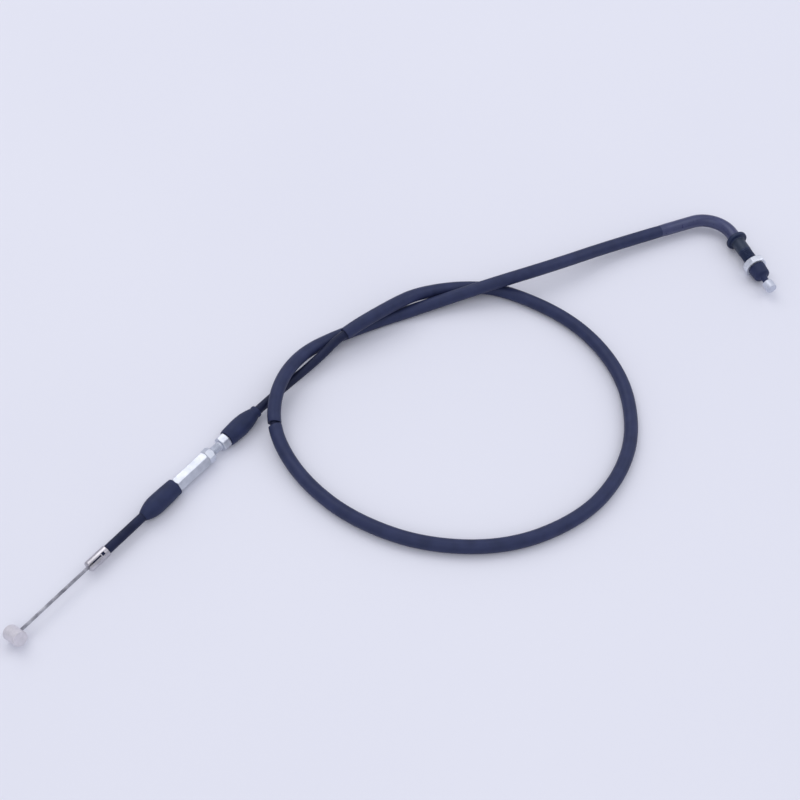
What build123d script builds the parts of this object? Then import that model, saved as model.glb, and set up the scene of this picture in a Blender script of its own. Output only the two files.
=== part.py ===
from build123d import *
import math
import os

# Motorcycle clutch cable, laid out on a flat surface with one loop in it.
# Units are millimetres. Z = 0 is the surface, and the origin is under the middle of the whole cable.
# The lever end is at -X -Y and the engine end is at +X +Y.

# Sections of the cable, from the inside out
WIRE_R = 0.9
LINER_IN_R = 1.05
LINER_R = 1.35
CORE_IN_R = 1.5
CORE_R = 2.1
JACKET_IN_R = 2.22
JACKET_R = 2.6
SLEEVE_IN_R = 2.75
SLEEVE_R = 3.9

# Fits
SLIDE_GAP = 0.05
TAIL_GAP = 0.35
WIRE_HOLE_R = 1.2
CAP_WALL = 0.3
FACE_GAP = 0.1
SLEEVE_GAP = 0.7

# Lever end: distances along its straight axis, from the middle of the nipple
LEVER_ORIGIN = (-208.3, -146.3, 5.6)
LEVER_HEADING = 52.1
NIPPLE_R = 4.0
NIPPLE_LENGTH = 10.0
NIPPLE_TILT = 20.0
FERRULE_START = 48.6
FERRULE_END = 61.6
FERRULE_R = 3.2
LEVER_WIRE_END = 100.0
MIDDLE_WIRE_START = 135.0
BOOT_START = 87.8
BOOT_END = 112.2
BARREL_START = 98.0
BARREL_HEX_START = 112.4
BARREL_WEB_START = 109.0
BARREL_WEB_END = 112.0
BARREL_END = 135.6
BARREL_NECK_R = 3.9
SPANNER_SIZE = 8.0
STUD_R = 2.5
BARREL_HEX_TURN = 1.0
LOCKNUT_TURN = 28.0
HEAD_TURN = 4.0
STUD_START = 119.0
LOCKNUT_HEIGHT = 4.5
HEAD_START = 147.2
HEAD_END = 152.4
SCREW_WEB_END = 151.0
SCREW_END = 163.0
SCREW_SHANK_R = 3.6
CAP_LENGTH = 11.0
CAP_R = JACKET_R + SLIDE_GAP + CAP_WALL
SCREW_BOOT_START = 152.6
SCREW_BOOT_END = 177.4

# Engine end: distances along the pipe's last leg, from the corner where its two legs would meet
PIPE_CORNER = (189.2, 154.2, 6.6)
PIPE_HEADING_IN = 21.5
PIPE_HEADING_OUT = -71.5
PIPE_MOUTH = 42.9
PIPE_BEND_R = 18.0
PIPE_R = 4.0
PIPE_IN_R = 2.7
PIPE_SWAGED_R = 2.7
PIPE_SWAGED_IN_R = 1.5
CASING_DEPTH = 12.0
FLANGE_START = 23.8
FLANGE_END = 26.6
FLANGE_R = 6.6
SHANK_R = 4.15
THREAD_START = 36.0
THREAD_END = 53.0
THREAD_R = 4.0
PIPE_NUT_START = 46.4
PIPE_NUT_HEIGHT = 4.5
PIPE_NUT_SIZE = 13.0
CAP_BOOT_START = 51.1
CAP_BOOT_SHOULDER = 59.2
CAP_BOOT_END = 63.7
END_NIPPLE_START = 64.4
END_NIPPLE_END = 70.4
END_NIPPLE_R = 3.25
ENGINE_WIRE_START = 20.2

# Route of the long casing between the adjuster and the pipe, as the corners of straight runs.
# It crosses itself three times: over the casing by the adjuster, under the front sleeve's end,
# and over the front sleeve at the top of the loop.
ROUTE = [
    (-66, 31, 6.5),
    (-52, 46, 12.1),
    (-21, 69, 13.8),
    (-6, 82, 9.2),
    (20, 92, 4.1),
    (47, 90, 3.9),
    (89, 63, 3.9),
    (112, 23, 3.9),
    (114, -19, 3.9),
    (102, -51, 3.9),
    (79, -77, 3.9),
    (40, -95, 3.9),
    (-5, -94, 3.9),
    (-43, -78, 3.9),
    (-69, -55, 3.9),
    (-85, -30, 5.2),
    (-90, -10, 9.2),
    (-86, 10, 14.6),
    (-75, 33, 10),
    (-57, 50, 4.6),
    (-31, 63.5, 3.9),
    (-12, 71.5, 3.9),
    (24, 84, 8.2),
    (44, 88, 13.2),
    (78, 102, 13.2),
]
FIRST_TURN = 189.0
LAST_TURN = -76.0
SLEEVE_FRONT_START = 98.5
SLEEVE_FRONT_END = 621.0
ARC_SHARE = 0.45


def along(start, heading, distance):
    """Point at a distance from start on a level line with the heading in degrees."""
    turn = math.radians(heading)
    return Vector(*start) + Vector(math.cos(turn), math.sin(turn), 0) * distance


def axis_location(start, heading):
    """Location with local Z along a level heading, local X to its left and local Y up."""
    turn = math.radians(heading)
    left = (-math.sin(turn), math.cos(turn), 0)
    forward = (math.cos(turn), math.sin(turn), 0)
    return Plane(origin=start, x_dir=left, z_dir=forward).location


LEVER = axis_location(LEVER_ORIGIN, LEVER_HEADING)
ENGINE = axis_location(PIPE_CORNER, PIPE_HEADING_OUT)


def turned(*outline):
    """Solid of revolution about local Z from a closed outline of (radius, height) points."""
    edges = Polyline(*[(radius, 0, height) for radius, height in outline], close=True)
    return revolve(make_face(edges), axis=Axis.Z)


def tube(start, end, outer, inner):
    """Straight tube on local Z."""
    return turned((inner, start), (outer, start), (outer, end), (inner, end))


def rod(start, end, radius):
    """Straight rod on local Z."""
    return turned((0, start), (radius, start), (radius, end), (0, end))


def hex_bar(start, end, size, turn=0.0):
    """Hexagonal bar on local Z, with the corners turned off at both ends."""
    corner = size / math.sqrt(3)
    bevel = 0.55 * (corner - size / 2)
    low = size / 2 - 0.1
    sketch = RegularPolygon(radius=size / 2, side_count=6, major_radius=False, rotation=turn)
    bar = Pos(0, 0, start) * extrude(sketch, end - start)
    envelope = turned(
        (0, start),
        (low, start),
        (corner + 0.1, start + bevel),
        (corner + 0.1, end - bevel),
        (low, end),
        (0, end),
    )
    return bar & envelope


def corner_radii(points):
    """Largest arc radius that the two runs at each corner leave room for."""
    radii = []
    for before, corner, after in zip(points, points[1:], points[2:]):
        first = corner - before
        second = after - corner
        half_turn = math.radians(first.get_angle(second)) / 2
        radii.append(ARC_SHARE * min(first.length, second.length) / math.tan(half_turn))
    return radii


def casing_corners():
    """Corners of the long casing: its seat in the adjuster screw, the route, and its end in the pipe."""
    seat = along(LEVER_ORIGIN, LEVER_HEADING, SCREW_WEB_END + CAP_WALL + FACE_GAP)
    first_turn = along(LEVER_ORIGIN, LEVER_HEADING, FIRST_TURN)
    last_turn = along(PIPE_CORNER, PIPE_HEADING_IN, LAST_TURN)
    finish = along(PIPE_CORNER, PIPE_HEADING_IN, CASING_DEPTH - PIPE_MOUTH)
    return [seat, first_turn] + [Vector(*point) for point in ROUTE] + [last_turn, finish]


def casing_path():
    """Centreline of the long casing."""
    corners = casing_corners()
    return FilletPolyline(*corners, radius=corner_radii(corners))


def inner_path(start, finish):
    """Centreline inside the casing, from a place on the lever's axis to one on the pipe's last leg."""
    corners = casing_corners()
    first = along(LEVER_ORIGIN, LEVER_HEADING, start)
    last = along(PIPE_CORNER, PIPE_HEADING_OUT, finish)
    radii = corner_radii(corners) + [PIPE_BEND_R]
    return FilletPolyline(first, *corners[1:-1], Vector(*PIPE_CORNER), last, radius=radii)


def swept(path, outer, inner, start=0.0, end=None):
    """Round tube, or rod where inner is 0, along part of a path, with distances in millimetres."""
    length = path.length
    stop = length if end is None else end
    piece = path if start == 0 and end is None else path.trim(start / length, stop / length)
    section = Circle(outer)
    if inner > 0:
        section -= Circle(inner)
    at_start = Plane(origin=piece @ 0, z_dir=piece % 0)
    solid = sweep(at_start * section, path=piece)
    expected = math.pi * (outer**2 - inner**2) * (stop - start)
    print("  swept %.1f mm, volume is %.4f of section times length" % (stop - start, solid.volume / expected))
    return solid


def casing_cap(start, flange_hole_r):
    """Pressed steel cap on a casing's end, with its closed end at start."""
    return turned(
        (flange_hole_r, start),
        (CAP_R, start),
        (CAP_R, start + CAP_LENGTH),
        (JACKET_R + SLIDE_GAP, start + CAP_LENGTH),
        (JACKET_R + SLIDE_GAP, start + CAP_WALL),
        (flange_hole_r, start + CAP_WALL),
    )


def lever_nipple():
    """Barrel nipple across the wire, tilted round it, with bevelled ends and a countersunk wire hole."""
    barrel = Rot(0, 90, 0) * Cylinder(NIPPLE_R, NIPPLE_LENGTH)
    barrel = chamfer(barrel.edges().filter_by(GeomType.CIRCLE), 0.45)
    hole = rod(-NIPPLE_R, NIPPLE_R + 1, WIRE_R)
    countersink = turned((0, 2.6), (WIRE_R, 2.6), (1.7, NIPPLE_R + 0.2), (0, NIPPLE_R + 0.2))
    return LEVER * Rot(0, 0, -NIPPLE_TILT) * (barrel - hole - countersink)


def lever_wire():
    """Wire from the far side of the nipple to its hidden end inside the short casing."""
    return LEVER * rod(-NIPPLE_R + 0.3, LEVER_WIRE_END, WIRE_R)


def lever_ferrule():
    """Rolled end cap, with a lengthwise seam and a square window near the casing."""
    seat = FERRULE_START + 3.0
    body = turned(
        (WIRE_HOLE_R, FERRULE_START),
        (FERRULE_R - 0.3, FERRULE_START),
        (FERRULE_R, FERRULE_START + 0.4),
        (FERRULE_R, FERRULE_END),
        (JACKET_R + SLIDE_GAP, FERRULE_END),
        (JACKET_R + SLIDE_GAP, seat),
        (WIRE_HOLE_R, seat),
    )
    seam_turn = 30.0
    seam = Pos(0, 2.6, FERRULE_START + 4.0) * Box(0.55, 2.4, 8.2)
    window = Pos(0, 3.0, FERRULE_END - 3.2) * Box(1.8, 1.6, 1.8)
    return LEVER * (body - Rot(0, 0, seam_turn) * (seam + window))


def short_casing_part(outer, inner):
    """One layer of the short casing, from the ferrule's seat to the cap in the barrel."""
    start = FERRULE_START + 3.0 + FACE_GAP
    return LEVER * tube(start, BARREL_WEB_START - CAP_WALL - 2 * FACE_GAP, outer, inner)


def barrel_ferrule():
    """Casing cap with its closed end against the barrel's web."""
    closed = BARREL_WEB_START - FACE_GAP
    return LEVER * Pos(0, 0, closed) * Rot(0, 180, 0) * casing_cap(0, WIRE_HOLE_R)


def lever_boot():
    """Rubber boot: a quick swell from the casing, then a slow taper to its open mouth."""
    outside = Spline(
        (3.0, 0, BOOT_START + 0.3),
        (3.7, 0, BOOT_START + 1.8),
        (4.9, 0, BOOT_START + 5.2),
        (5.45, 0, BOOT_START + 9.2),
        (5.3, 0, BOOT_START + 17.0),
        (5.0, 0, BOOT_END),
    )
    inside = Polyline(
        (5.0, 0, BOOT_END),
        (BARREL_NECK_R + SLIDE_GAP, 0, BOOT_END),
        (BARREL_NECK_R + SLIDE_GAP, 0, BARREL_START - 0.6),
        (JACKET_R + SLIDE_GAP, 0, BARREL_START - 3.4),
        (JACKET_R + SLIDE_GAP, 0, BOOT_START),
        (3.0, 0, BOOT_START),
        (3.0, 0, BOOT_START + 0.3),
    )
    return LEVER * revolve(make_face(outside + inside), axis=Axis.Z)


def adjuster_barrel():
    """Long hex sleeve: a round neck with the casing's seat, a web, and a tapped bore."""
    neck = rod(BARREL_START, BARREL_HEX_START + 1, BARREL_NECK_R)
    body = neck + hex_bar(BARREL_HEX_START, BARREL_END, SPANNER_SIZE, BARREL_HEX_TURN)
    seat = rod(BARREL_START - 1, BARREL_WEB_START, CAP_R + SLIDE_GAP)
    wire_hole = rod(BARREL_WEB_START - 1, BARREL_WEB_END + 1, WIRE_HOLE_R)
    tapped = rod(BARREL_WEB_END, BARREL_END + 1, STUD_R + SLIDE_GAP)
    return LEVER * (body - seat - wire_hole - tapped)


def adjuster_locknut():
    """Locknut against the barrel's end."""
    start = BARREL_END + FACE_GAP
    body = hex_bar(start, start + LOCKNUT_HEIGHT, SPANNER_SIZE, LOCKNUT_TURN)
    return LEVER * (body - rod(start - 1, start + LOCKNUT_HEIGHT + 1, STUD_R + SLIDE_GAP))


def adjuster_screw():
    """Hollow stud with a hex head, and a round shank behind it that holds the casing's cap."""
    body = rod(STUD_START, HEAD_START + 1, STUD_R)
    body = body + hex_bar(HEAD_START, HEAD_END, SPANNER_SIZE, HEAD_TURN)
    body = body + rod(HEAD_END - 1, SCREW_END, SCREW_SHANK_R)
    wire_hole = rod(STUD_START - 1, SCREW_WEB_END + 1, WIRE_HOLE_R)
    seat = rod(SCREW_WEB_END, SCREW_END + 1, CAP_R + SLIDE_GAP)
    return LEVER * (body - wire_hole - seat)


def screw_ferrule():
    """Casing cap with its closed end against the screw's web."""
    return LEVER * casing_cap(SCREW_WEB_END + FACE_GAP / 2, WIRE_HOLE_R)


def screw_boot():
    """Second rubber boot: its mouth at the hex head and a long lipped tail on the casing."""
    outside = Spline(
        (4.9, 0, SCREW_BOOT_START),
        (5.45, 0, SCREW_BOOT_START + 6.0),
        (5.55, 0, SCREW_BOOT_START + 11.5),
        (4.7, 0, SCREW_BOOT_START + 18.0),
        (3.45, 0, SCREW_BOOT_END - 2.2),
    )
    inside = Polyline(
        (3.45, 0, SCREW_BOOT_END - 2.2),
        (3.6, 0, SCREW_BOOT_END - 1.8),
        (3.6, 0, SCREW_BOOT_END),
        (JACKET_R + TAIL_GAP, 0, SCREW_BOOT_END),
        (JACKET_R + TAIL_GAP, 0, SCREW_END + 5.0),
        (SCREW_SHANK_R + SLIDE_GAP, 0, SCREW_END + 1.0),
        (SCREW_SHANK_R + SLIDE_GAP, 0, SCREW_BOOT_START),
        (4.9, 0, SCREW_BOOT_START),
    )
    return LEVER * revolve(make_face(outside + inside), axis=Axis.Z)


def pipe():
    """Bent steel pipe, swaged down where it enters the threaded fitting."""
    mouth = along(PIPE_CORNER, PIPE_HEADING_IN, -PIPE_MOUTH)
    finish = along(PIPE_CORNER, PIPE_HEADING_OUT, FLANGE_START + 0.6)
    path = FilletPolyline(mouth, Vector(*PIPE_CORNER), finish, radius=PIPE_BEND_R)
    bent = swept(path, PIPE_R, PIPE_IN_R)
    swage = tube(FLANGE_START + 0.6, THREAD_START + 8.0, PIPE_SWAGED_R, PIPE_SWAGED_IN_R)
    shoulder = tube(FLANGE_START - 0.9, FLANGE_START + 0.6, PIPE_R - 0.2, PIPE_SWAGED_IN_R)
    return bent + ENGINE * (swage + shoulder)


def threaded_fitting():
    """Turned fitting on the pipe's end: a flange, a plain shank and an M8 thread."""
    body = turned(
        (0, FLANGE_START),
        (FLANGE_R, FLANGE_START),
        (FLANGE_R, FLANGE_END),
        (SHANK_R, FLANGE_END),
        (SHANK_R, THREAD_START),
        (THREAD_R, THREAD_START + 0.4),
        (THREAD_R, THREAD_END - 0.6),
        (THREAD_R - 0.6, THREAD_END),
        (0, THREAD_END),
    )
    rim = body.edges().filter_by(GeomType.CIRCLE).filter_by(lambda e: e.radius > FLANGE_R - 0.1)
    body = fillet(rim, 0.8)
    pipe_seat = rod(FLANGE_START - 1, FLANGE_START + 0.7, PIPE_R + SLIDE_GAP)
    socket = rod(FLANGE_START, THREAD_START + 8.1, PIPE_SWAGED_R + SLIDE_GAP)
    liner_hole = rod(THREAD_START, THREAD_END + 1, PIPE_SWAGED_IN_R)
    return ENGINE * (body - pipe_seat - socket - liner_hole)


def pipe_nut():
    """Thin hex nut on the fitting's thread."""
    body = hex_bar(PIPE_NUT_START, PIPE_NUT_START + PIPE_NUT_HEIGHT, PIPE_NUT_SIZE)
    bore = rod(PIPE_NUT_START - 1, PIPE_NUT_START + PIPE_NUT_HEIGHT + 1, THREAD_R + SLIDE_GAP)
    return ENGINE * (body - bore)


def end_boot():
    """Small rubber cap over the thread's end, with a narrow neck round the wire."""
    shoulder = CAP_BOOT_SHOULDER
    body = turned(
        (WIRE_R + 0.1, CAP_BOOT_END),
        (1.9, CAP_BOOT_END),
        (1.9, shoulder + 0.6),
        (3.6, shoulder),
        (4.8, shoulder - 1.2),
        (5.4, CAP_BOOT_START),
        (THREAD_R + SLIDE_GAP, CAP_BOOT_START),
        (THREAD_R + SLIDE_GAP, THREAD_END + 0.2),
        (3.0, shoulder - 2.0),
        (WIRE_R + 0.1, shoulder - 2.0),
    )
    return ENGINE * body


def engine_wire():
    """Wire from the end of the pipe's bend into the end nipple."""
    return ENGINE * rod(ENGINE_WIRE_START + FACE_GAP, END_NIPPLE_END - 1.0, WIRE_R)


def engine_nipple():
    """Round end nipple on the wire's axis, with a bevelled rim and a blind wire hole."""
    body = rod(END_NIPPLE_START, END_NIPPLE_END, END_NIPPLE_R)
    rims = body.edges().filter_by(GeomType.CIRCLE)
    body = chamfer(rims, 0.5)
    return ENGINE * (body - rod(END_NIPPLE_START - 1, END_NIPPLE_END - 1.0, WIRE_R))


def all_parts():
    """Every piece by its node name."""
    casing = casing_path()
    mouth_length = casing.length - CASING_DEPTH
    liner_start = SCREW_WEB_END + CAP_WALL + FACE_GAP
    print("casing arc radii:", [round(radius) for radius in corner_radii(casing_corners())])
    return {
        "lever_nipple": lever_nipple(),
        "lever_wire": lever_wire(),
        "lever_ferrule": lever_ferrule(),
        "short_jacket": short_casing_part(JACKET_R, JACKET_IN_R),
        "short_core": short_casing_part(CORE_R, CORE_IN_R),
        "short_liner": short_casing_part(LINER_R, LINER_IN_R),
        "lever_boot": lever_boot(),
        "barrel_ferrule": barrel_ferrule(),
        "adjuster_barrel": adjuster_barrel(),
        "adjuster_locknut": adjuster_locknut(),
        "adjuster_screw": adjuster_screw(),
        "screw_ferrule": screw_ferrule(),
        "screw_boot": screw_boot(),
        "main_jacket": swept(casing, JACKET_R, JACKET_IN_R),
        "main_core": swept(casing, CORE_R, CORE_IN_R),
        "main_liner": swept(inner_path(liner_start, THREAD_END), LINER_R, LINER_IN_R),
        "middle_wire": swept(inner_path(MIDDLE_WIRE_START, ENGINE_WIRE_START), WIRE_R, 0),
        "front_sleeve": swept(casing, SLEEVE_R, SLEEVE_IN_R, SLEEVE_FRONT_START, SLEEVE_FRONT_END),
        "rear_sleeve": swept(
            casing, SLEEVE_R, SLEEVE_IN_R, SLEEVE_FRONT_END + SLEEVE_GAP, mouth_length - FACE_GAP
        ),
        "pipe": pipe(),
        "threaded_fitting": threaded_fitting(),
        "pipe_nut": pipe_nut(),
        "end_boot": end_boot(),
        "engine_wire": engine_wire(),
        "engine_nipple": engine_nipple(),
    }


os.makedirs("parts", exist_ok=True)
for name, solid in all_parts().items():
    export_step(solid, "parts/" + name + ".step")
    print(name, "%.0f mm3" % solid.volume)
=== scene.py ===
import bmesh
import bpy
import math
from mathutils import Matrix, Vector


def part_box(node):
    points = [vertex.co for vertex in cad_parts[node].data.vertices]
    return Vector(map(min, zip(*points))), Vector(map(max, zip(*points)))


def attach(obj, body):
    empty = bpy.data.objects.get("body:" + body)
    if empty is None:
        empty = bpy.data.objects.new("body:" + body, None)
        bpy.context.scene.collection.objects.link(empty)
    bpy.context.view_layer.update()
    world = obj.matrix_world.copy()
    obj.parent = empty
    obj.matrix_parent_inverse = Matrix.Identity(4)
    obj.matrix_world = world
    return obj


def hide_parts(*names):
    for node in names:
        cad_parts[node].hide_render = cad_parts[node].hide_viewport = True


# A motorcycle clutch cable lying on a pale surface. The turned pieces are outlines of radius and
# distance, in millimetres, round two straight lines: the lever's and the engine's. The casing's route
# is in metres.
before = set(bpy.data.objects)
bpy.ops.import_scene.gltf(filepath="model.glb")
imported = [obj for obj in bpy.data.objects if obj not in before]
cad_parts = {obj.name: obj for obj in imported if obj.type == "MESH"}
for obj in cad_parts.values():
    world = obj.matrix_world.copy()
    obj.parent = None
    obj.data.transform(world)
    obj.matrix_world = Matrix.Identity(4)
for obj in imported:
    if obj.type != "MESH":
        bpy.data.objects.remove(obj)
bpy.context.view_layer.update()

MM = 0.001

# Radii along the cable
WIRE_R = 0.9
JACKET_R = 2.6
JACKET_IN_R = 2.22
SLEEVE_R = 3.9
SLEEVE_IN_R = 2.75
WIRE_HOLE_R = 1.2

# Lever end: radii, sizes across flats, and turns about the line in degrees
NIPPLE_R = 4.0
NIPPLE_HALF = 5.0
NIPPLE_TILT = 20.0
FERRULE_R = 3.2
FERRULE_IN_R = 2.65
SEAM_ANGLE = 120
BARREL_NECK_R = 3.9
BARREL_SEAT_R = 3.0
BARREL_THREAD_R = 2.55
STUD_R = 2.5
STUD_PITCH = 0.8
STUD_THREAD_DEPTH = 0.46
SHANK_R = 3.6
HEX_SIZE = 8.0
HEX_CORNER_R = 4.75
BARREL_TURN = 1.0
LOCKNUT_TURN = 28.0
HEAD_TURN = 4.0

# Distances along the lever's line, from the middle of the nipple
FERRULE_START = 48.6
FERRULE_END = 61.6
SHORT_CASING_START = 51.7
SHORT_CASING_END = 108.5
BOOT_START = 87.8
BOOT_END = 112.2
BARREL_START = 98.0
BARREL_WEB_START = 109.0
BARREL_WEB_END = 112.0
HEX_START = 112.4
BARREL_END = 135.6
LOCKNUT_START = 135.7
LOCKNUT_END = 140.2
STUD_START = 119.0
HEAD_START = 147.2
HEAD_END = 152.4
SCREW_WEB_END = 151.0
SCREW_END = 163.0
SCREW_BOOT_START = 152.6
SCREW_BOOT_END = 177.4
CASING_SEAT = 151.4
FIRST_TURN = 189.0

# Engine end: radii, and sizes across flats
PIPE_R = 4.0
PIPE_IN_R = 2.8
FITTING_R = 4.15
FITTING_IN_R = 1.6
FITTING_SOCKET_R = 4.05
FLANGE_R = 6.6
THREAD_R = 4.0
THREAD_PITCH = 1.25
THREAD_DEPTH = 0.7
NUT_SIZE = 13.0
CAP_R = 5.3
END_NIPPLE_R = 3.25

# Distances along the engine's line, from the corner of the pipe
CORNER_TO_NUT = 48.65
FLANGE_START = 23.8
FLANGE_END = 26.6
THREAD_START = 36.0
THREAD_END = 53.0
NUT_START = 46.4
NUT_END = 50.9
CAP_START = 51.1
CAP_SHOULDER = 59.2
CAP_END = 63.7
END_NIPPLE_START = 64.4
END_NIPPLE_END = 70.4

# The pipe's first leg, with distances back from the corner
PIPE_HEADING_IN = 21.5
PIPE_MOUTH = 42.9
PIPE_BEND_R = 18.0
CASING_DEPTH = 12.0
LAST_TURN = 76.0

# Distances along the casing, in millimetres, and its length in metres
SLEEVE_FRONT_START = 98.5
SLEEVE_JOINT = 618.2
SLEEVE_GAP = 2.1
JOINT_SLANT = 0.8
SLEEVE_LIP = 0.15

# Control points of the casing's route between the adjuster and the pipe, in metres
ROUTE = [
    (-0.066, 0.031, 0.0065),
    (-0.052, 0.046, 0.0121),
    (-0.021, 0.069, 0.0138),
    (-0.006, 0.082, 0.0092),
    (0.020, 0.092, 0.0041),
    (0.047, 0.090, 0.0039),
    (0.089, 0.063, 0.0039),
    (0.112, 0.023, 0.0039),
    (0.114, -0.019, 0.0039),
    (0.102, -0.051, 0.0039),
    (0.079, -0.077, 0.0039),
    (0.040, -0.095, 0.0039),
    (-0.005, -0.094, 0.0039),
    (-0.043, -0.078, 0.0039),
    (-0.069, -0.055, 0.0039),
    (-0.085, -0.030, 0.0052),
    (-0.090, -0.010, 0.0092),
    (-0.086, 0.010, 0.0146),
    (-0.075, 0.033, 0.01),
    (-0.057, 0.050, 0.0046),
    (-0.031, 0.0635, 0.0039),
    (-0.012, 0.0715, 0.0039),
    (0.024, 0.084, 0.0082),
    (0.044, 0.088, 0.0132),
    (0.078, 0.102, 0.0132),
]


# ---------------------------------------------------------------- lines and outlines


class Line:
    """A straight line, level unless tilted, with distances in millimetres and angles round it."""

    def __init__(self, start, heading):
        turn = math.radians(heading)
        self.start = Vector(start)
        self.forward = Vector((math.cos(turn), math.sin(turn), 0))
        self.left = Vector((-math.sin(turn), math.cos(turn), 0))
        self.up = Vector((0, 0, 1))

    def tilt(self, degrees):
        """Tips the line's far end down."""
        turn = math.radians(degrees)
        forward = self.forward * math.cos(turn) - self.up * math.sin(turn)
        self.up = self.up * math.cos(turn) + self.forward * math.sin(turn)
        self.forward = forward

    def point(self, distance, radius=0.0, angle=0.0):
        """Point in metres; angle 0 is to the left of the line and 90 is above it."""
        turn = math.radians(angle)
        across = self.left * math.cos(turn) + self.up * math.sin(turn)
        return self.start + (self.forward * distance + across * radius) * MM


def centre(node):
    """Middle of a CAD node's box."""
    low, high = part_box(node)
    return (low + high) / 2


def heading(first, second):
    """Heading in degrees from one CAD node's middle to another's."""
    step = centre(second) - centre(first)
    return math.degrees(math.atan2(step.y, step.x))


LEVER_HEADING = heading("lever_nipple", "adjuster_locknut")
LEVER = Line(centre("lever_nipple"), LEVER_HEADING)
NIPPLE = Line(centre("lever_nipple"), LEVER_HEADING + 90)
NIPPLE.tilt(NIPPLE_TILT)
ENGINE_HEADING = heading("pipe_nut", "engine_nipple")
ENGINE = Line(Line(centre("pipe_nut"), ENGINE_HEADING).point(-CORNER_TO_NUT), ENGINE_HEADING)
PIPE_IN = Line(ENGINE.start, PIPE_HEADING_IN)


def eased(outline, radius, steps=4, closed=True):
    """The outline with each corner rounded, as far as the sides next to it allow."""
    points = [Vector(p) for p in outline]
    count = len(points)
    result = []
    for i, corner in enumerate(points):
        if not closed and i in (0, count - 1):
            result.append(tuple(corner))
            continue
        before = points[i - 1] - corner
        after = points[(i + 1) % count] - corner
        cut = min(radius, 0.45 * before.length, 0.45 * after.length)
        first = corner + before.normalized() * cut
        last = corner + after.normalized() * cut
        for k in range(steps + 1):
            t = k / steps
            result.append(tuple(first * (1 - t) ** 2 + corner * 2 * t * (1 - t) + last * t**2))
    return result


def dense(start, end, radius, step):
    """Outline points at one radius, evenly spaced from start to end."""
    count = max(2, round(abs(end - start) / step))
    return [(radius, start + (end - start) * k / count) for k in range(count + 1)]


def smooth_outline(points, per_span=6):
    """Catmull-Rom curve through outline points."""
    pts = [Vector(p) for p in points]
    result = []
    for i in range(len(pts) - 1):
        a = pts[max(i - 1, 0)]
        b = pts[i]
        c = pts[i + 1]
        d = pts[min(i + 2, len(pts) - 1)]
        for k in range(per_span):
            t = k / per_span
            p = 2 * b + (c - a) * t + (2 * a - 5 * b + 4 * c - d) * t**2 + (3 * b - a - 3 * c + d) * t**3
            result.append(tuple(p / 2))
    result.append(tuple(pts[-1]))
    return result


# ---------------------------------------------------------------- shapes round an axis


def hexagon(size, turn=0.0, start=-1e9, end=1e9, sharpness=44):
    """Shape that keeps a radius inside a hexagon with softened corners, between two distances."""
    normals = [math.radians(turn + 30 + 60 * k) for k in range(3)]

    def shape(radius, distance, angle):
        if not start <= distance <= end:
            return radius
        total = sum(abs(math.cos(angle - normal)) ** sharpness for normal in normals)
        return min(radius, size / 2 * total ** (-1 / sharpness))

    return shape


def screw_thread(major, depth, pitch, start, end):
    """Shape that cuts a helical V thread into the surface at the major radius."""

    def shape(radius, distance, angle):
        if not start <= distance <= end or radius < major - 0.01:
            return radius
        phase = (distance / pitch - angle / (2 * math.pi)) % 1
        groove = max(0.0, 1 - abs(2 * phase - 1) * 1.25)
        fade = min(1, (distance - start) / pitch, (end - distance) / pitch)
        return radius - depth * groove * fade

    return shape


def mould_line(height, at_angles, width=3.0):
    """Shape that raises a fine parting line on a moulded piece's outside."""

    def shape(radius, distance, angle):
        degrees = math.degrees(angle)
        for place in at_angles:
            off = (degrees - place + 180) % 360 - 180
            radius += height * math.exp(-((off / width) ** 2))
        return radius

    return shape


def finish_mesh(name, bm, sharp=None):
    """Object from a bmesh, shaded smooth, with edges over the sharp angle in degrees kept crisp."""
    bmesh.ops.recalc_face_normals(bm, faces=bm.faces)
    mesh = bpy.data.meshes.new(name)
    bm.to_mesh(mesh)
    bm.free()
    for polygon in mesh.polygons:
        polygon.use_smooth = True
    if sharp is not None:
        mesh.set_sharp_from_angle(angle=math.radians(sharp))
    piece = bpy.data.objects.new(name, mesh)
    bpy.context.scene.collection.objects.link(piece)
    return piece


def turned(name, line, outline, shapes=(), sides=96, sharp=50):
    """Piece turned about a line from a closed outline of (radius, distance), then shaped."""
    bm = bmesh.new()
    rings = []
    for radius, distance in outline:
        if radius < 1e-6:
            rings.append([bm.verts.new(line.point(distance))])
            continue
        ring = []
        for k in range(sides):
            angle = 2 * math.pi * k / sides
            r = radius
            for shape in shapes:
                r = shape(r, distance, angle)
            ring.append(bm.verts.new(line.point(distance, r, math.degrees(angle))))
        rings.append(ring)
    for first, second in zip(rings, rings[1:] + rings[:1]):
        for k in range(sides):
            a = first[k % len(first)]
            b = first[(k + 1) % len(first)]
            c = second[(k + 1) % len(second)]
            d = second[k % len(second)]
            corners = list(dict.fromkeys((a, b, c, d)))
            if len(corners) > 2:
                bm.faces.new(corners)
    piece = finish_mesh(name, bm, sharp)
    weighted = piece.modifiers.new("weighted", "WEIGHTED_NORMAL")
    weighted.keep_sharp = True
    return piece


def transport(points):
    """Frames along points: (point, side, up) with no twist between them."""
    frames = []
    side = None
    for i, point in enumerate(points):
        step = (points[min(i + 1, len(points) - 1)] - points[max(i - 1, 0)]).normalized()
        if side is None:
            side = step.cross(Vector((0, 0, 1))).normalized()
        side = (side - step * side.dot(step)).normalized()
        frames.append((point, side, step.cross(side).normalized()))
    return frames


def sweep_rings(bm, frames, radii, sides):
    """Rings of vertices along frames."""
    rings = []
    for (point, side, up), radius in zip(frames, radii):
        ring = []
        for k in range(sides):
            turn = 2 * math.pi * k / sides
            ring.append(bm.verts.new(point + (side * math.cos(turn) + up * math.sin(turn)) * radius))
        rings.append(ring)
    return rings


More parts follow.
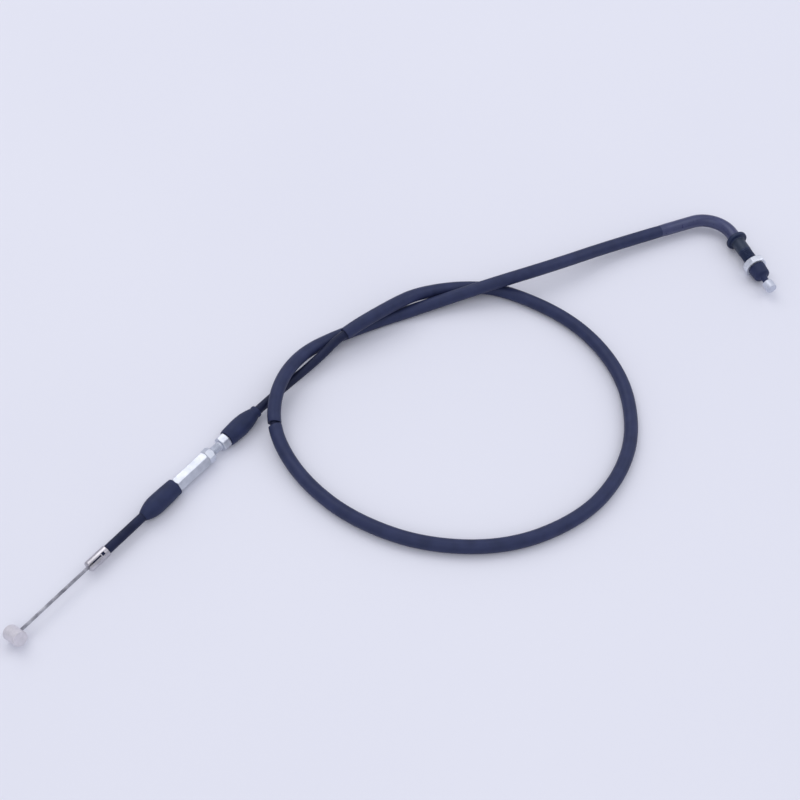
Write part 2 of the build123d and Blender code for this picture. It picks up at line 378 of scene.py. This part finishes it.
def skin(bm, rings):
    """Faces between neighbouring rings."""
    for first, second in zip(rings, rings[1:]):
        count = len(first)
        for k in range(count):
            bm.faces.new((first[k], first[(k + 1) % count], second[(k + 1) % count], second[k]))


def slant_end(rings, frames, at_end, slant, outer):
    """Cuts a tube's end out of square: its left side moves forward by the slant in millimetres."""
    place = -1 if at_end else 0
    point, side, up = frames[place]
    forward = side.cross(up)
    for ring in rings:
        for v in ring[place]:
            v.co += forward * slant * (v.co - point).dot(-side) / outer


def tube_mesh(name, points, outer, inner, sides=40, lip=0.0, start_slant=0.0, end_slant=0.0):
    """Hollow tube along points in metres, with eased ends; radii are in millimetres."""
    frames = transport(points)
    ease = lip * MM
    outer_r = [outer * MM] * len(points)
    outer_r[0] -= ease
    outer_r[-1] -= ease
    bm = bmesh.new()
    outside = sweep_rings(bm, frames, outer_r, sides)
    inside = sweep_rings(bm, frames, [inner * MM] * len(points), sides)
    slant_end((outside, inside), frames, False, start_slant, outer)
    slant_end((outside, inside), frames, True, end_slant, outer)
    skin(bm, outside)
    skin(bm, inside)
    skin(bm, [outside[0], inside[0]])
    skin(bm, [outside[-1], inside[-1]])
    return finish_mesh(name, bm, 50)


def capped_tube(bm, points, radius, sides):
    """Closed round bar along points in metres; the radius is in millimetres."""
    rings = sweep_rings(bm, transport(points), [radius * MM] * len(points), sides)
    skin(bm, rings)
    bm.faces.new(reversed(rings[0]))
    bm.faces.new(rings[-1])


def laid_wire(name, line, start, end, plain_end, count=12, lay=15.0):
    """Stranded wire: outer wires laid round a core, and a plain core where it never shows."""
    half_step = math.sin(math.pi / count)
    strand_r = WIRE_R * half_step / (1 + half_step)
    centre_r = WIRE_R - strand_r
    steps_per_lay = 14
    steps = math.ceil((end - start) / lay * steps_per_lay)
    bm = bmesh.new()
    for n in range(count):
        points = []
        for k in range(steps + 1):
            distance = start + (end - start) * k / steps
            points.append(line.point(distance, centre_r, 360 * (distance / lay + n / count)))
        capped_tube(bm, points, strand_r * 1.03, 8)
    low = min(start, plain_end)
    high = max(plain_end, end)
    core = [line.point(low), line.point((low + high) / 2), line.point(high)]
    capped_tube(bm, core, centre_r, 24)
    return finish_mesh(name, bm, 40)


def cut(piece, cutters):
    """Cuts the other pieces out of a piece, and removes them."""
    for cutter in cutters:
        boolean = piece.modifiers.new("cut", "BOOLEAN")
        boolean.operation = "DIFFERENCE"
        boolean.solver = "EXACT"
        boolean.object = cutter
    bpy.context.view_layer.update()
    depsgraph = bpy.context.evaluated_depsgraph_get()
    mesh = bpy.data.meshes.new_from_object(piece.evaluated_get(depsgraph))
    piece.modifiers.clear()
    piece.data = mesh
    for cutter in cutters:
        bpy.data.objects.remove(cutter)
    mesh.set_sharp_from_angle(angle=math.radians(35))
    return piece


def block(name, line, angle, distance, radius, size):
    """Box cutter on a line, at an angle round it; size is (along, out, across)."""
    along, out, across = size
    bm = bmesh.new()
    bmesh.ops.create_cube(bm, size=1)
    turn = math.radians(angle)
    outward = line.left * math.cos(turn) + line.up * math.sin(turn)
    sideways = line.forward.cross(outward)
    middle = line.point(distance, radius, angle)
    for v in bm.verts:
        x, y, z = v.co
        v.co = middle + (line.forward * x * along + outward * y * out + sideways * z * across) * MM
    return finish_mesh(name, bm)


# ---------------------------------------------------------------- materials


def nodes_of(name):
    """New node material, with its tree, shader and object coordinates."""
    material = bpy.data.materials.new(name)
    material.use_nodes = True
    tree = material.node_tree
    coordinates = tree.nodes.new("ShaderNodeTexCoord").outputs["Object"]
    return material, tree, tree.nodes["Principled BSDF"], coordinates


def noise(tree, coordinates, scale, detail=3.0, roughness=0.55):
    """Noise over the object, as a number from 0 to 1."""
    node = tree.nodes.new("ShaderNodeTexNoise")
    node.inputs["Scale"].default_value = scale
    node.inputs["Detail"].default_value = detail
    node.inputs["Roughness"].default_value = roughness
    tree.links.new(coordinates, node.inputs["Vector"])
    return node.outputs["Fac"]


def ramp(tree, value, stops):
    """Colour ramp from (place, grey or colour) stops."""
    node = tree.nodes.new("ShaderNodeValToRGB")
    elements = node.color_ramp.elements
    for i, (place, colour) in enumerate(stops):
        element = elements[i] if i < 2 else elements.new(place)
        element.position = place
        shade = colour if isinstance(colour, tuple) else (colour, colour, colour)
        element.color = (*shade, 1)
    tree.links.new(value, node.inputs["Fac"])
    return node.outputs["Color"]


def along_line(tree, coordinates, direction):
    """Distance along a direction, in metres."""
    node = tree.nodes.new("ShaderNodeVectorMath")
    node.operation = "DOT_PRODUCT"
    node.inputs[1].default_value = direction
    tree.links.new(coordinates, node.inputs[0])
    return node.outputs["Value"]


def bands(tree, value, pitch):
    """Fine even bands along a distance: a sine with the pitch in millimetres."""
    scale = tree.nodes.new("ShaderNodeMath")
    scale.operation = "MULTIPLY"
    scale.inputs[1].default_value = 2 * math.pi / (pitch * MM)
    tree.links.new(value, scale.inputs[0])
    sine = tree.nodes.new("ShaderNodeMath")
    sine.operation = "SINE"
    tree.links.new(scale.outputs["Value"], sine.inputs[0])
    return sine.outputs["Value"]


def bump(tree, shader, heights):
    """Bumps from (value, depth in millimetres) pairs, one on another."""
    normal = None
    for value, depth in heights:
        node = tree.nodes.new("ShaderNodeBump")
        node.inputs["Strength"].default_value = 1.0
        node.inputs["Distance"].default_value = depth * MM
        tree.links.new(value, node.inputs["Height"])
        if normal is not None:
            tree.links.new(normal, node.inputs["Normal"])
        normal = node.outputs["Normal"]
    tree.links.new(normal, shader.inputs["Normal"])


def metal(name, dark, light, rough, direction=None, pits=0.001, patch=260, bare=1.0):
    """Bare or plated metal, mottled, with fine pits and faint tool marks across a direction."""
    pit_scale = 900
    mark_pitch = 0.9
    mark_depth = 0.0006
    material, tree, shader, coordinates = nodes_of(name)
    shader.inputs["Metallic"].default_value = bare
    mottle = noise(tree, coordinates, patch, 4)
    tree.links.new(ramp(tree, mottle, [(0.32, dark), (0.68, light)]), shader.inputs["Base Color"])
    fine = noise(tree, coordinates, pit_scale, 2)
    gloss = ramp(tree, noise(tree, coordinates, patch * 2.3, 3), [(0.3, rough[0]), (0.7, rough[1])])
    tree.links.new(gloss, shader.inputs["Roughness"])
    heights = [(fine, pits)]
    if direction is not None:
        along = along_line(tree, coordinates, direction)
        heights.append((bands(tree, along, mark_pitch), mark_depth))
    bump(tree, shader, heights)
    return material


def plastic(name, dark, light, rough, grain=0.006, patch=120, streak=None, shine=0.4):
    """Plastic, rubber or paint: soft mottling and fine grain, with a cool shine."""
    grain_scale = 1500
    streak_depth = 0.03
    cool = (0.72, 0.8, 1.0, 1)
    material, tree, shader, coordinates = nodes_of(name)
    shader.inputs["Specular IOR Level"].default_value = shine
    shader.inputs["Specular Tint"].default_value = cool
    mottle = noise(tree, coordinates, patch, 5, 0.6)
    tree.links.new(ramp(tree, mottle, [(0.3, dark), (0.7, light)]), shader.inputs["Base Color"])
    gloss = ramp(tree, noise(tree, coordinates, patch * 4, 4), [(0.3, rough[0]), (0.7, rough[1])])
    tree.links.new(gloss, shader.inputs["Roughness"])
    heights = [(noise(tree, coordinates, grain_scale, 3, 0.6), grain)]
    if streak is not None:
        heights.append((noise(tree, coordinates, streak, 2), streak_depth))
    bump(tree, shader, heights)
    return material


def floor_material():
    """Plain pale card, faintly uneven."""
    material, tree, shader, coordinates = nodes_of("pale_card")
    soft = noise(tree, coordinates, 2.2, 2)
    stops = [(0.3, (0.765, 0.775, 0.85)), (0.7, (0.79, 0.80, 0.87))]
    tree.links.new(ramp(tree, soft, stops), shader.inputs["Base Color"])
    shader.inputs["Roughness"].default_value = 0.75
    return material


ZINC = metal("zinc_plate", (0.58, 0.61, 0.68), (0.70, 0.73, 0.80), (0.38, 0.48), LEVER.forward)
NUT_ZINC = metal(
    "nut_zinc", (0.66, 0.69, 0.76), (0.80, 0.83, 0.90), (0.42, 0.52), ENGINE.forward, bare=0.8
)
ROLLED = metal("rolled_steel", (0.40, 0.39, 0.42), (0.60, 0.58, 0.62), (0.26, 0.36), LEVER.forward)
STRAND = metal("strand_steel", (0.22, 0.22, 0.26), (0.48, 0.48, 0.53), (0.34, 0.46))
CAST = metal(
    "die_cast", (0.64, 0.62, 0.66), (0.74, 0.71, 0.76), (0.44, 0.54), pits=0.004, patch=420, bare=0.55
)
END_STEEL = metal(
    "end_steel", (0.54, 0.57, 0.66), (0.68, 0.71, 0.80), (0.46, 0.56), ENGINE.forward, bare=0.7
)
JACKET = plastic("casing_cover", (0.006, 0.008, 0.028), (0.014, 0.018, 0.052), (0.4, 0.52), shine=0.25)
SLEEVE = plastic("sleeve_vinyl", (0.014, 0.019, 0.058), (0.024, 0.031, 0.088), (0.44, 0.58), streak=60)
RUBBER = plastic("boot_rubber", (0.010, 0.015, 0.050), (0.019, 0.026, 0.080), (0.5, 0.62))
PAINT = plastic(
    "satin_paint", (0.036, 0.04, 0.098), (0.052, 0.058, 0.138), (0.26, 0.36), 0.002, shine=0.6
)
DARK_METAL = plastic("dark_plate", (0.009, 0.016, 0.050), (0.018, 0.028, 0.072), (0.34, 0.46), 0.002)
SHANK_METAL = plastic("dark_shank", (0.018, 0.027, 0.050), (0.03, 0.041, 0.070), (0.36, 0.46), 0.002)


def dress(piece, material, body, slot, *nodes):
    """Gives a piece its material and body, and hides the CAD nodes it stands for. The slot is not used.
    """
    piece.data.materials.clear()
    piece.data.materials.append(material)
    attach(piece, body)
    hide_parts(*nodes)
    return piece


# ---------------------------------------------------------------- the casing and its sleeves


def casing_line():
    """Points of the smooth line that the casing follows, read from its NURBS curve."""
    seat = LEVER.point(CASING_SEAT)
    first = LEVER.point(FIRST_TURN)
    last = PIPE_IN.point(-LAST_TURN)
    finish = PIPE_IN.point(CASING_DEPTH - PIPE_MOUTH)
    controls = [seat, first] + [Vector(p) for p in ROUTE] + [last, finish]
    curve = bpy.data.curves.new("casing_route", "CURVE")
    curve.dimensions = "3D"
    curve.resolution_u = 14
    spline = curve.splines.new("NURBS")
    spline.points.add(len(controls) - 1)
    for point, place in zip(spline.points, controls):
        point.co = (*place, 1)
    spline.order_u = 3
    spline.use_endpoint_u = True
    route = bpy.data.objects.new("casing_route", curve)
    bpy.context.scene.collection.objects.link(route)
    bpy.context.view_layer.update()
    mesh = bpy.data.meshes.new_from_object(route)
    points = [v.co.copy() for v in mesh.vertices]
    bpy.data.objects.remove(route)
    return points


def part_of_line(points, start, end):
    """Stretch of a line of points between two distances in millimetres."""
    result = []
    walked = 0.0
    for a, b in zip(points, points[1:]):
        length = (b - a).length / MM
        for limit in (start, end):
            if walked <= limit < walked + length:
                result.append((limit, a.lerp(b, (limit - walked) / length)))
        walked += length
        if start < walked < end:
            result.append((walked, b))
    return [point for place, point in sorted(result, key=lambda item: item[0])]


def line_length(points):
    """Length of a line of points, in millimetres."""
    return sum((b - a).length for a, b in zip(points, points[1:])) / MM


def main_casing():
    """The long casing's cover with its two sleeves, all on the casing's body."""
    points = casing_line()
    total = line_length(points)
    cover = tube_mesh("casing_cover_long", points, JACKET_R, JACKET_IN_R, 32)
    dress(cover, JACKET, "casing", "casing_black", "main_jacket")
    front_line = part_of_line(points, SLEEVE_FRONT_START, SLEEVE_JOINT - SLEEVE_GAP / 2)
    front = tube_mesh(
        "loop_sleeve", front_line, SLEEVE_R, SLEEVE_IN_R, 48, SLEEVE_LIP, end_slant=-JOINT_SLANT
    )
    dress(front, SLEEVE, "casing", "sleeve_black", "front_sleeve")
    rear_line = part_of_line(points, SLEEVE_JOINT + SLEEVE_GAP / 2, total - CASING_DEPTH - 0.1)
    rear = tube_mesh(
        "pipe_sleeve", rear_line, SLEEVE_R, SLEEVE_IN_R, 48, SLEEVE_LIP, start_slant=JOINT_SLANT
    )
    dress(rear, SLEEVE, "casing", "sleeve_black", "rear_sleeve")


# ---------------------------------------------------------------- lever end


def lever_nipple():
    """Die-cast barrel across the wire, with a countersunk hole where the wire comes out."""
    outline = [
        (0, -NIPPLE_HALF),
        (NIPPLE_R, -NIPPLE_HALF),
        (NIPPLE_R, NIPPLE_HALF),
        (0, NIPPLE_HALF),
    ]
    outline = eased(outline, 0.35, 5, closed=False)
    nipple = turned("barrel_nipple", NIPPLE, outline, [mould_line(0.05, (90, 270), 2.0)])
    hole_r = 1.15
    sink = [(0, 2.4), (hole_r, 2.4), (hole_r, 3.0), (2.2, NIPPLE_R + 0.5), (0, NIPPLE_R + 0.5)]
    cut(nipple, [turned("countersink", LEVER, sink, sides=48)])
    dress(nipple, CAST, "lever_end", "die_cast_zinc", "lever_nipple")


def lever_wire():
    """Stranded wire from the nipple into the casing."""
    wire = laid_wire("lever_strands", LEVER, 1.5, 66.0, 100.0)
    dress(wire, STRAND, "lever_end", "wire_steel", "lever_wire")


def lever_ferrule():
    """Rolled end cap with an open seam and a square window."""
    seat = FERRULE_START + 3.0
    outline = [
        (WIRE_HOLE_R, FERRULE_START),
        (FERRULE_R - 0.45, FERRULE_START),
        (FERRULE_R, FERRULE_START + 0.7),
        (FERRULE_R, FERRULE_END),
        (FERRULE_IN_R, FERRULE_END),
        (FERRULE_IN_R, seat),
        (WIRE_HOLE_R, seat),
    ]
    cap = turned("rolled_ferrule", LEVER, eased(outline, 0.28))
    seam = block("seam", LEVER, SEAM_ANGLE, FERRULE_START + 4.0, 2.45, (8.8, 2.9, 0.85))
    window = block("window", LEVER, SEAM_ANGLE, FERRULE_END - 3.2, FERRULE_R, (1.8, 1.6, 1.8))
    cut(cap, [seam, window])
    dress(cap, ROLLED, "short_casing", "plated_steel", "lever_ferrule")


def short_casing():
    """Cover of the short casing between the ferrule and the adjuster."""
    count = 24
    step = (SHORT_CASING_END - SHORT_CASING_START) / count
    points = [LEVER.point(SHORT_CASING_START + k * step) for k in range(count + 1)]
    cover = tube_mesh("casing_cover_short", points, JACKET_R, JACKET_IN_R, 32)
    dress(cover, JACKET, "short_casing", "casing_black", "short_jacket")


def lever_boot():
    """Rubber boot with a quick swell and a slow taper to a square-cut mouth."""
    outside = smooth_outline(
        [
            (3.0, BOOT_START + 0.3),
            (3.5, BOOT_START + 1.3),
            (4.15, BOOT_START + 3.0),
            (4.85, BOOT_START + 5.2),
            (5.25, BOOT_START + 7.4),
            (5.42, BOOT_START + 10.0),
            (5.38, BOOT_START + 14.0),
            (5.25, BOOT_START + 18.5),
            (5.0, BOOT_END - 0.4),
        ]
    )
    mouth_r = BARREL_NECK_R + 0.05
    tail_r = JACKET_R + 0.08
    inside = [
        (4.85, BOOT_END),
        (mouth_r, BOOT_END),
        (mouth_r, BARREL_START - 0.6),
        (tail_r, BARREL_START - 3.4),
        (tail_r, BOOT_START),
        (2.9, BOOT_START),
    ]
    boot = turned("adjuster_boot", LEVER, outside + inside, [mould_line(0.05, (0, 180))], 72)
    dress(boot, RUBBER, "lever_boot", "boot_rubber", "lever_boot")


def adjuster_barrel():
    """Long hex sleeve with bevelled ends on a round neck."""
    bevel = 0.55
    bevel_r = 4.05
    outline = [
        (BARREL_SEAT_R, BARREL_START),
        (BARREL_NECK_R, BARREL_START),
        (BARREL_NECK_R, HEX_START),
        (bevel_r, HEX_START),
        (HEX_CORNER_R, HEX_START + bevel),
        (HEX_CORNER_R, BARREL_END - bevel),
        (bevel_r, BARREL_END),
        (BARREL_THREAD_R + 0.2, BARREL_END),
        (BARREL_THREAD_R, BARREL_END - 0.4),
        (BARREL_THREAD_R, BARREL_WEB_END),
        (WIRE_HOLE_R, BARREL_WEB_END),
        (WIRE_HOLE_R, BARREL_WEB_START),
        (BARREL_SEAT_R, BARREL_WEB_START),
    ]
    shapes = [hexagon(HEX_SIZE, BARREL_TURN, HEX_START - 0.01, BARREL_END + 0.01)]
    barrel = turned("hex_sleeve", LEVER, eased(outline, 0.14, 3), shapes, 192)
    dress(barrel, ZINC, "barrel", "zinc_plated_steel", "adjuster_barrel")


def hex_nut(name, line, start, end, size, turn, bore, body, material, node):
    """Thin hex nut with bevelled corners and a bevelled bore."""
    bevel = 0.09 * size
    bore_bevel = 0.35
    corner = size * 0.6
    flat = size / 2 - 0.05
    outline = [
        (bore, start + bore_bevel),
        (bore + bore_bevel, start),
        (flat, start),
        (corner, start + bevel),
        (corner, end - bevel),
        (flat, end),
        (bore + bore_bevel, end),
        (bore, end - bore_bevel),
    ]
    nut = turned(name, line, eased(outline, 0.12, 3), [hexagon(size, turn)], 192)
    dress(nut, material, body, "zinc_plated_steel", node)


def adjuster_screw():
    """Hollow threaded stud with a hex head and a round shank."""
    thread_start = STUD_START + 0.7
    thread_end = HEAD_START - 0.6
    neck_r = 2.2
    seat_r = 3.0
    bevel = 0.6
    bevel_r = 3.95
    stud = [(WIRE_HOLE_R, STUD_START), (1.9, STUD_START), (STUD_R, STUD_START + 0.6)]
    stud += dense(thread_start, thread_end, STUD_R, STUD_PITCH / 8)
    head = eased(
        [
            (neck_r, thread_end + 0.1),
            (neck_r, HEAD_START),
            (bevel_r, HEAD_START),
            (HEX_CORNER_R, HEAD_START + bevel),
            (HEX_CORNER_R, HEAD_END - bevel),
            (bevel_r, HEAD_END),
            (SHANK_R, HEAD_END),
            (SHANK_R, SCREW_END),
            (seat_r, SCREW_END),
            (seat_r, SCREW_WEB_END),
            (WIRE_HOLE_R, SCREW_WEB_END),
        ],
        0.12,
        3,
        closed=False,
    )
    shapes = [
        screw_thread(STUD_R, STUD_THREAD_DEPTH, STUD_PITCH, thread_start, thread_end),
        hexagon(HEX_SIZE, HEAD_TURN, HEAD_START - 0.01, HEAD_END + 0.01),
    ]
    screw = turned("adjuster_stud", LEVER, stud + head, shapes, 96, 60)
    dress(screw, ZINC, "casing", "zinc_plated_steel", "adjuster_screw")


def screw_boot():
    """Rubber boot behind the adjuster's head, with a long lipped tail."""
    outside = smooth_outline(
        [
            (4.9, SCREW_BOOT_START + 0.2),
            (5.2, SCREW_BOOT_START + 3.0),
            (5.45, SCREW_BOOT_START + 7.0),
            (5.52, SCREW_BOOT_START + 11.0),
            (5.25, SCREW_BOOT_START + 15.0),
            (4.6, SCREW_BOOT_START + 18.6),
            (3.85, SCREW_BOOT_START + 21.4),
            (3.46, SCREW_BOOT_END - 2.3),
        ]
    )
    lip_r = 3.62
    tail = [
        (3.42, SCREW_BOOT_END - 1.9),
        (lip_r, SCREW_BOOT_END - 1.4),
        (lip_r, SCREW_BOOT_END - 0.4),
    ]
    # The tail's bore leaves room for the casing, which starts to curve within the boot's travel
    tail_in_r = 3.13
    mouth_r = SHANK_R + 0.05
    inside = [
        (3.5, SCREW_BOOT_END),
        (tail_in_r, SCREW_BOOT_END),
        (tail_in_r, SCREW_END + 5.0),
        (mouth_r, SCREW_END + 1.0),
        (mouth_r, SCREW_BOOT_START),
        (4.7, SCREW_BOOT_START),
    ]
    boot = turned("head_boot", LEVER, outside + tail + inside, [mould_line(0.05, (10, 190))], 72)
    dress(boot, RUBBER, "screw_boot", "boot_rubber", "screw_boot")


# ---------------------------------------------------------------- engine end


def pipe():
    """Bent pipe: a straight leg, a round bend and a short leg into the fitting."""
    half_turn = math.radians((PIPE_HEADING_IN - ENGINE_HEADING) / 2)
    tangent = PIPE_BEND_R * math.tan(half_turn)
    middle = PIPE_IN.point(-tangent) - PIPE_IN.left * PIPE_BEND_R * MM
    steps = 24
    points = [PIPE_IN.point(-PIPE_MOUTH + (PIPE_MOUTH - tangent) * k / 6) for k in range(6)]
    for k in range(steps + 1):
        turn = 2 * half_turn * k / steps
        outward = PIPE_IN.left * math.cos(turn) + PIPE_IN.forward * math.sin(turn)
        points.append(middle + outward * PIPE_BEND_R * MM)
    short_leg = FLANGE_START + 0.4 - tangent
    points += [ENGINE.point(tangent + short_leg * k / 4) for k in range(1, 5)]
    bent = tube_mesh("bent_pipe", points, PIPE_R, PIPE_IN_R, 48, 0.2)
    dress(bent, PAINT, "casing", "painted_pipe", "pipe")


def threaded_fitting():
    """Turned fitting: a rounded flange, a plain shank and a screw thread."""
    thread_start = THREAD_START + 0.5
    thread_end = THREAD_END - 0.7
    flange = eased(
        [
            (FITTING_SOCKET_R, FLANGE_START),
            (FLANGE_R, FLANGE_START),
            (FLANGE_R, FLANGE_END),
            (FITTING_R, FLANGE_END),
            (FITTING_R, THREAD_START),
            (THREAD_R, THREAD_START + 0.3),
            (THREAD_R, thread_start),
        ],
        1.25,
        6,
        closed=False,
    )
    thread = dense(thread_start, thread_end, THREAD_R, THREAD_PITCH / 10)
    end = [
        (THREAD_R, THREAD_END - 0.6),
        (THREAD_R - 0.6, THREAD_END),
        (FITTING_IN_R, THREAD_END),
        (FITTING_IN_R, FLANGE_START + 1.0),
        (FITTING_SOCKET_R, FLANGE_START + 1.0),
    ]
    shapes = [screw_thread(THREAD_R, THREAD_DEPTH, THREAD_PITCH, thread_start, thread_end)]
    fitting = turned("pipe_fitting", ENGINE, flange + thread + end, shapes, 96, 60)
    dress(fitting, DARK_METAL, "casing", "dark_plated_steel", "threaded_fitting")
    fitting.data.materials.append(SHANK_METAL)
    for face in fitting.data.polygons:
        along = (face.center - ENGINE.start).dot(ENGINE.forward) / MM
        face.material_index = int(FLANGE_END + 0.4 < along < THREAD_START)


def end_boot():
    """Rubber cap on the thread's end, with a shoulder and a narrow neck."""
    outline = eased(
        [
            (1.0, CAP_END),
            (1.85, CAP_END),
            (2.0, CAP_SHOULDER + 1.2),
            (2.7, CAP_SHOULDER + 0.2),
            (4.6, CAP_SHOULDER - 0.6),
            (4.95, CAP_SHOULDER - 1.6),
            (CAP_R, CAP_START + 0.8),
            (CAP_R, CAP_START),
            (THREAD_R + 0.1, CAP_START),
            (THREAD_R + 0.1, THREAD_END + 0.2),
            (3.0, CAP_SHOULDER - 2.0),
            (1.0, CAP_SHOULDER - 2.0),
        ],
        0.4,
        5,
    )
    boot = turned("end_cap_boot", ENGINE, outline, [mould_line(0.04, (0, 180))], 72)
    dress(boot, RUBBER, "casing", "boot_rubber", "end_boot")


def engine_end():
    """Stranded wire and the small nipple on its end."""
    wire = laid_wire("engine_strands", ENGINE, 27.0, 65.5, 20.4)
    dress(wire, STRAND, "engine_end", "wire_steel", "engine_wire")
    outline = eased(
        [
            (0.92, END_NIPPLE_START + 0.3),
            (1.3, END_NIPPLE_START),
            (END_NIPPLE_R, END_NIPPLE_START),
            (END_NIPPLE_R, END_NIPPLE_END),
            (1.0, END_NIPPLE_END),
            (0.0, END_NIPPLE_END - 0.25),
            (0.0, END_NIPPLE_START + 0.5),
        ],
        0.7,
        5,
        closed=False,
    )
    nipple = turned("end_nipple", ENGINE, outline)
    dress(nipple, END_STEEL, "engine_end", "end_nipple_steel", "engine_nipple")


def hidden_parts():
    """Plain looks for the CAD nodes that stay inside the casing."""
    liner = plastic("liner_plastic", (0.6, 0.6, 0.57), (0.75, 0.75, 0.72), (0.3, 0.4))
    steel_nodes = ("short_core", "main_core", "barrel_ferrule", "screw_ferrule", "middle_wire")
    liner_nodes = ("short_liner", "main_liner")
    for material, nodes in ((STRAND, steel_nodes), (liner, liner_nodes)):
        for node in nodes:
            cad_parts[node].data.materials.clear()
            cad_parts[node].data.materials.append(material)


# ---------------------------------------------------------------- floor, light and camera


def stage():
    """Pale floor under the cable."""
    mesh = bpy.data.meshes.new("floor")
    side = 4.0
    corners = [(-side, -side, 0), (side, -side, 0), (side, side, 0), (-side, side, 0)]
    mesh.from_pydata(corners, [], [(0, 1, 2, 3)])
    floor = bpy.data.objects.new("floor", mesh)
    bpy.context.scene.collection.objects.link(floor)
    just_under = 0.0001
    floor.location.z = -just_under
    mesh.materials.append(floor_material())


def soft_light(name, place, size, power, colour):
    """Square soft light in watts, aimed at the middle of the floor."""
    data = bpy.data.lights.new(name, "AREA")
    data.size = size
    data.energy = power
    data.color = colour
    lamp = bpy.data.objects.new(name, data)
    lamp.location = place
    lamp.rotation_euler = (-Vector(place)).to_track_quat("-Z", "Y").to_euler()
    bpy.context.scene.collection.objects.link(lamp)


def lights():
    """A broad light behind and to the left, one to the right, one in front, and a pale room."""
    soft_light("key_light", (-0.84, 1.3, 2.1), 2.0, 17, (1, 0.99, 0.98))
    soft_light("right_light", (1.7, 0.6, 1.8), 1.8, 11, (0.97, 0.98, 1))
    soft_light("fill_light", (-0.3, -1.6, 2.1), 2.2, 12, (1, 1, 1))
    world = bpy.data.worlds.new("pale_room")
    world.use_nodes = True
    background = world.node_tree.nodes["Background"]
    background.inputs["Color"].default_value = (0.8, 0.81, 0.9, 1)
    background.inputs["Strength"].default_value = 0.72
    bpy.context.scene.world = world
    bpy.context.scene.view_settings.view_transform = "Standard"


def camera():
    """Camera above the front of the cable, looking down at it."""
    looking_down = 52.0
    data = bpy.data.cameras.new("camera")
    data.sensor_width = 36.0
    data.lens = 52.74
    view = bpy.data.objects.new("camera", data)
    view.location = (-0.0179, -0.41135, 0.53409)
    view.rotation_euler = (math.radians(90.0 - looking_down), 0, 0)
    bpy.context.scene.collection.objects.link(view)
    bpy.context.scene.camera = view


camera()
main_casing()
lever_nipple()
lever_wire()
lever_ferrule()
short_casing()
lever_boot()
adjuster_barrel()
hex_nut(
    "lock_nut",
    LEVER,
    LOCKNUT_START,
    LOCKNUT_END,
    HEX_SIZE,
    LOCKNUT_TURN,
    STUD_R + 0.05,
    "locknut",
    ZINC,
    "adjuster_locknut",
)
adjuster_screw()
screw_boot()
pipe()
threaded_fitting()
hex_nut(
    "bracket_nut",
    ENGINE,
    NUT_START,
    NUT_END,
    NUT_SIZE,
    0.0,
    THREAD_R + 0.05,
    "pipe_nut",
    NUT_ZINC,
    "pipe_nut",
)
end_boot()
engine_end()
hidden_parts()
stage()
lights()
